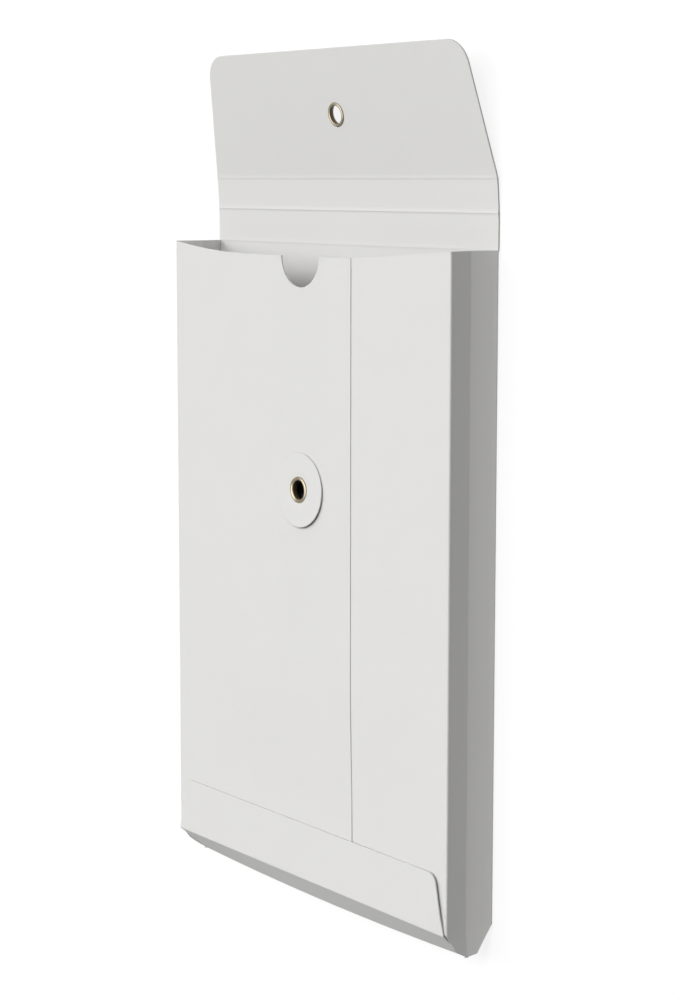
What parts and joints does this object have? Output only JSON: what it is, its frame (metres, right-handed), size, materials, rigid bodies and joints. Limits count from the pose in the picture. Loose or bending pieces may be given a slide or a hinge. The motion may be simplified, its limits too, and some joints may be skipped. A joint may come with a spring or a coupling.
{
  "type": "string tie envelope",
  "caption": "Gusseted card envelope with a scored fold-over flap, a thumb notch, a lapped front seam and card buttons riveted by brass eyelets for a string tie.",
  "frame": {"origin": "centre of the back panel's outer face, on which the envelope lies", "axes": "+X to the right as the front is seen, +Y from the bottom fold to the flap, +Z out of the front"},
  "size_m": [0.162, 0.3073, 0.0227],
  "materials": {
    "card": "matte",
    "button_card": "matte",
    "brass": "polished",
    "glue": "matte"
  },
  "bodies": {
    "back": {"back_panel": "card"},
    "right_rear_wall": {"side_gusset_right_rear": "card"},
    "right_front_wall": {"side_gusset_right_front": "card"},
    "front": {"front_left_panel": "card", "front_right_panel": "card", "seam_glue": "glue", "bottom_seal_flap": "card", "seal_glue": "glue", "front_eyelet": "brass"},
    "left_rear_wall": {"side_gusset_left_rear": "card"},
    "left_front_wall": {"side_gusset_left_front": "card"},
    "bottom_rear_wall": {"bottom_gusset_rear": "card"},
    "bottom_front_wall": {"bottom_gusset_front": "card"},
    "lower_strip": {"flap_lower_strip": "card"},
    "upper_strip": {"flap_upper_strip": "card"},
    "flap": {"closing_flap": "card", "flap_eyelet": "brass"},
    "front_button": {"front_button_disc": "button_card"},
    "flap_button": {"flap_button_disc": "button_card"}
  },
  "joints": [
    {"name": "right_wall_fold", "type": "hinge", "parent": "back", "child": "right_rear_wall", "pos_m": [0.08026, 0, 0.0006], "axis": [0, -1, 0], "range_deg": [0, 71.67]},
    {"name": "right_crease", "type": "hinge", "parent": "right_rear_wall", "child": "right_front_wall", "pos_m": [0.0788, 0, 0.0104], "axis": [0, 1, 0], "range_deg": [0, 143.32]},
    {"name": "right_front_fold", "type": "hinge", "parent": "right_front_wall", "child": "front", "pos_m": [0.08026, 0, 0.0202], "axis": [0, -1, 0], "range_deg": [0, 71.67]},
    {"name": "left_wall_fold", "type": "hinge", "parent": "back", "child": "left_rear_wall", "pos_m": [-0.08026, 0, 0.0006], "axis": [0, 1, 0], "range_deg": [0, 71.65]},
    {"name": "left_crease", "type": "hinge", "parent": "left_rear_wall", "child": "left_front_wall", "pos_m": [-0.0788, 0, 0.0104], "axis": [0, -1, 0], "range_deg": [0, 143.32]},
    {"name": "bottom_rear_fold", "type": "hinge", "parent": "back", "child": "bottom_rear_wall", "pos_m": [0, -0.1145, 0], "axis": [1, 0, 0], "range_deg": [0, 40.78]},
    {"name": "bottom_front_fold", "type": "hinge", "parent": "front", "child": "bottom_front_wall", "pos_m": [0, -0.1145, 0.0215], "axis": [-1, 0, 0], "range_deg": [0, 40.78]},
    {"name": "mouth_fold", "type": "hinge", "parent": "back", "child": "lower_strip", "pos_m": [0, 0.1145, 0.0006], "axis": [1, 0, 0], "range_deg": [0, 72]},
    {"name": "lower_score", "type": "hinge", "parent": "lower_strip", "child": "upper_strip", "pos_m": [0, 0.1266, 0.0006], "axis": [1, 0, 0], "range_deg": [0, 36]},
    {"name": "upper_score", "type": "hinge", "parent": "upper_strip", "child": "flap", "pos_m": [0, 0.13798, 0.00134], "axis": [1, 0, 0], "range_deg": [0, 60]},
    {"name": "front_button_spin", "type": "hinge", "parent": "front", "child": "front_button", "pos_m": [0, 0.0281, 0.0208], "axis": [0, 0, 1], "continuous": true},
    {"name": "flap_button_spin", "type": "hinge", "parent": "flap", "child": "flap_button", "pos_m": [0, 0.16035, 0.00523], "axis": [0, 0.1977, -0.9803], "continuous": true}
  ],
  "couplings": [
    {"joint": "left_crease", "follows": "left_wall_fold", "ratio": 2},
    {"joint": "right_wall_fold", "follows": "left_wall_fold", "ratio": 1},
    {"joint": "right_crease", "follows": "left_wall_fold", "ratio": 2},
    {"joint": "right_front_fold", "follows": "left_wall_fold", "ratio": 1},
    {"joint": "bottom_rear_fold", "follows": "left_wall_fold", "ratio": 0.5689},
    {"joint": "bottom_front_fold", "follows": "left_wall_fold", "ratio": 0.5689}
  ]
}
